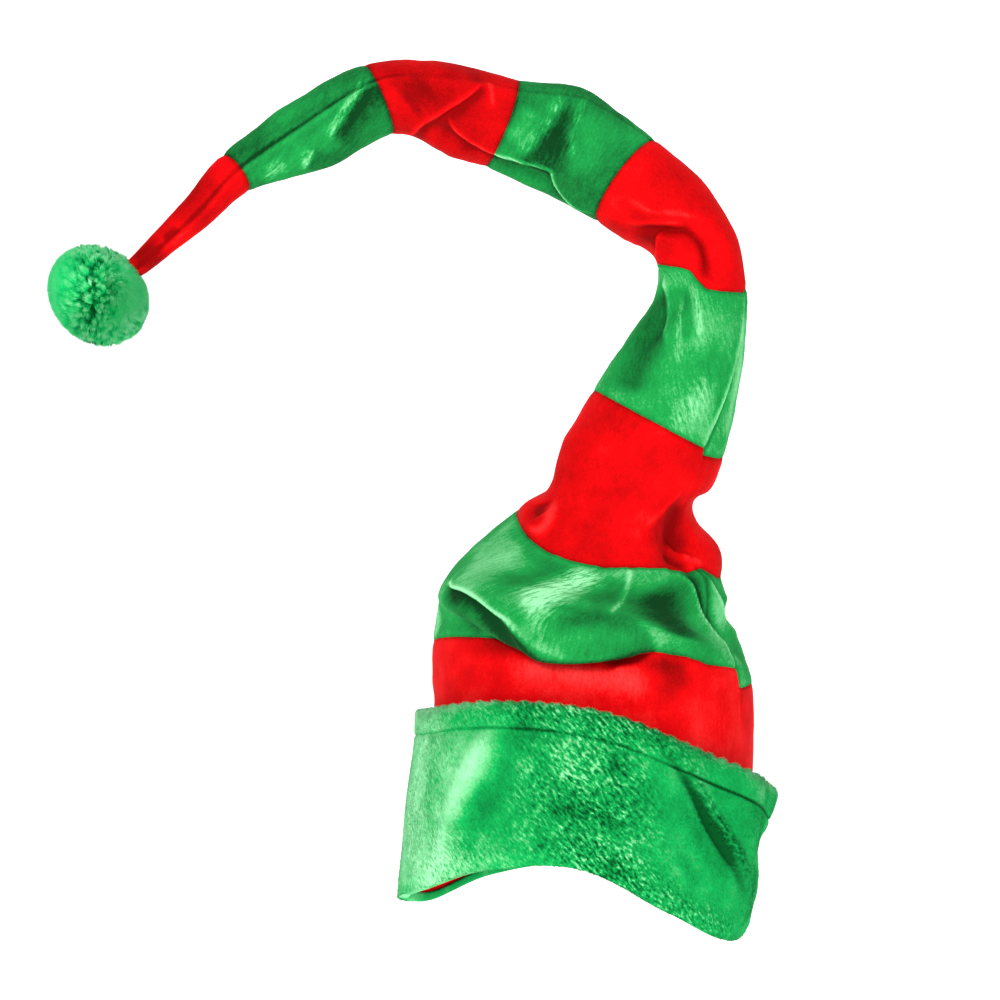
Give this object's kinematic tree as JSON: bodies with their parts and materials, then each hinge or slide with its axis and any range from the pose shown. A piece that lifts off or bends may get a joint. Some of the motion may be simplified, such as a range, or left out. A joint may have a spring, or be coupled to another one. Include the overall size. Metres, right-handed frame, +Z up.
{
  "type": "clown hat",
  "caption": "Long tapering clown hat in red and green velvet stripes, its tail curling over to one side, with a turned-up plush cuff round the head opening and a pompom on the tip.",
  "frame": {"origin": "middle of the head opening, level with the rim at the wearer's side", "axes": "+Z up from the opening to the top of the tail's curve, +X to the right seen from the front, -Y towards the viewer in front"},
  "size_m": [0.4181, 0.2211, 0.4964],
  "materials": {
    "red_velvet": "short velvet pile with a soft sheen",
    "green_velvet": "crushed velvet, its nap brushed light and dark",
    "cuff_plush": "short plush with a brushed nap",
    "pompom_pile": "dense tufted pile"
  },
  "bodies": {
    "root": {"cuff": "cuff_plush", "red_band_1": "red_velvet", "green_band_1": "green_velvet", "red_band_2": "red_velvet", "green_band_2": "green_velvet", "red_band_3": "red_velvet", "green_band_3": "green_velvet", "red_band_4": "red_velvet", "green_band_4": "green_velvet", "red_band_5": "red_velvet", "pompom": "pompom_pile"}
  },
  "joints": []
}
